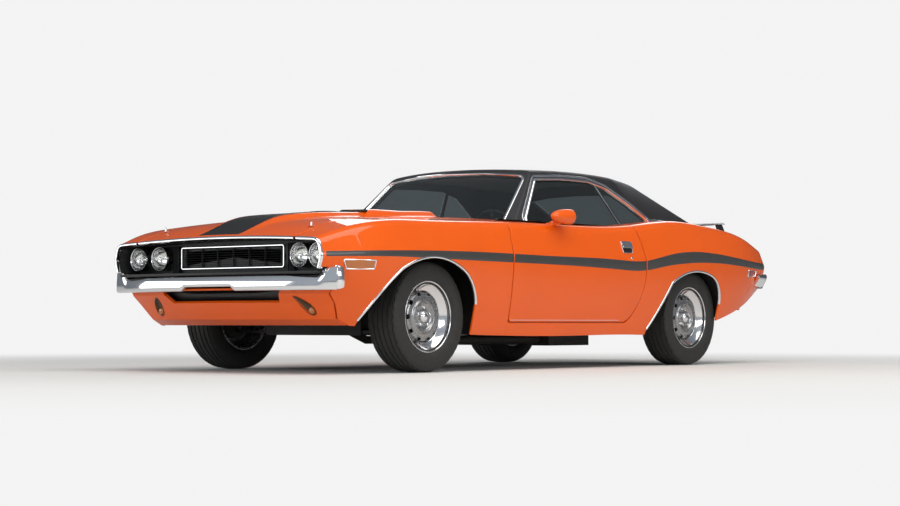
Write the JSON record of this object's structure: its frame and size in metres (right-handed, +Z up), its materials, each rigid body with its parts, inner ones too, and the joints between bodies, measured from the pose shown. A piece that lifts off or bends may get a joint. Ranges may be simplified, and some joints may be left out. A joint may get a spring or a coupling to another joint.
{
  "type": "muscle car",
  "caption": "Two-door hardtop muscle car with opening doors, hood and decklid, steered front wheels, rolling wheels and a rear wing.",
  "frame": {"origin": "on the ground, under the middle of the car's box", "axes": "+X forward, +Y to the car's left, +Z up"},
  "size_m": [4.8588, 2.017, 1.316],
  "materials": {
    "paint": "gloss",
    "structure_paint": "satin",
    "vinyl": "matte",
    "chrome": "polished",
    "glass": "gloss",
    "lamp_glass": "gloss",
    "red_lens": "gloss",
    "black_trim": "satin",
    "tyre": "matte",
    "wheel": "satin",
    "cast_iron": "matte",
    "steel": "satin",
    "seat_vinyl": "matte",
    "interior": "matte"
  },
  "bodies": {
    "chassis": {"floor_pan": "structure_paint", "front_structure": "structure_paint", "fender_left": "paint", "fender_right": "paint", "quarter_left": "paint", "quarter_right": "paint", "roof": "vinyl", "windshield": "glass", "rear_glass": "glass", "cowl": "paint", "rear_deck": "paint", "tail_panel": "paint", "tail_lamps": "red_lens", "grille": "black_trim", "headlamps": "lamp_glass", "front_valance": "paint", "front_bumper": "chrome", "rear_bumper": "chrome", "engine": "cast_iron", "driveline": "steel", "rear_axle": "cast_iron", "front_suspension": "structure_paint", "dashboard": "interior", "front_seats": "seat_vinyl", "rear_seat": "seat_vinyl", "exhaust": "steel", "fuel_tank": "steel"},
    "hood": {"hood": "paint"},
    "decklid": {"decklid": "paint", "rear_wing": "black_trim"},
    "door_left": {"door_left": "paint", "door_glass_left": "glass"},
    "door_right": {"door_right": "paint", "door_glass_right": "glass"},
    "knuckle_left": {"knuckle_left": "cast_iron"},
    "knuckle_right": {"knuckle_right": "cast_iron"},
    "steering_wheel": {"steering_wheel": "black_trim"},
    "wheel_front_left": {"tyre_front_left": "tyre", "wheel_front_left": "wheel"},
    "wheel_front_right": {"tyre_front_right": "tyre", "wheel_front_right": "wheel"},
    "wheel_rear_left": {"tyre_rear_left": "tyre", "wheel_rear_left": "wheel"},
    "wheel_rear_right": {"tyre_rear_right": "tyre", "wheel_rear_right": "wheel"}
  },
  "joints": [
    {"name": "door_left_hinge", "type": "hinge", "parent": "chassis", "child": "door_left", "pos_m": [0.7385, 0.952, 0.6], "axis": [0, 0, -1], "range_deg": [0, 66]},
    {"name": "door_right_hinge", "type": "hinge", "parent": "chassis", "child": "door_right", "pos_m": [0.7385, -0.952, 0.6], "axis": [0, 0, 1], "range_deg": [0, 66]},
    {"name": "hood_hinge", "type": "hinge", "parent": "chassis", "child": "hood", "pos_m": [0.7585, 0, 0.998], "axis": [0, -1, 0], "range_deg": [0, 50]},
    {"name": "decklid_hinge", "type": "hinge", "parent": "chassis", "child": "decklid", "pos_m": [-1.8995, 0, 0.9755], "axis": [0, 1, 0], "range_deg": [0, 60]},
    {"name": "steer_left", "type": "hinge", "parent": "chassis", "child": "knuckle_left", "pos_m": [1.4545, 0.7, 0.326], "axis": [0, 0, 1], "range_deg": [-33, 33]},
    {"name": "steer_right", "type": "hinge", "parent": "chassis", "child": "knuckle_right", "pos_m": [1.4545, -0.7, 0.326], "axis": [0, 0, 1], "range_deg": [-33, 33]},
    {"name": "steering_wheel_turn", "type": "hinge", "parent": "chassis", "child": "steering_wheel", "pos_m": [0.2095, 0.4, 0.838], "axis": [-0.9135, 0, 0.4067], "range_deg": [-528, 528]},
    {"name": "roll_front_left", "type": "hinge", "parent": "knuckle_left", "child": "wheel_front_left", "pos_m": [1.4545, 0.758, 0.326], "axis": [0, 1, 0], "continuous": true},
    {"name": "roll_front_right", "type": "hinge", "parent": "knuckle_right", "child": "wheel_front_right", "pos_m": [1.4545, -0.758, 0.326], "axis": [0, 1, 0], "continuous": true},
    {"name": "roll_rear_left", "type": "hinge", "parent": "chassis", "child": "wheel_rear_left", "pos_m": [-1.3395, 0.7705, 0.326], "axis": [0, 1, 0], "continuous": true},
    {"name": "roll_rear_right", "type": "hinge", "parent": "chassis", "child": "wheel_rear_right", "pos_m": [-1.3395, -0.7705, 0.326], "axis": [0, 1, 0], "continuous": true}
  ],
  "couplings": [
    {"joint": "steer_right", "follows": "steer_left", "ratio": 1},
    {"joint": "steering_wheel_turn", "follows": "steer_left", "ratio": 16}
  ]
}
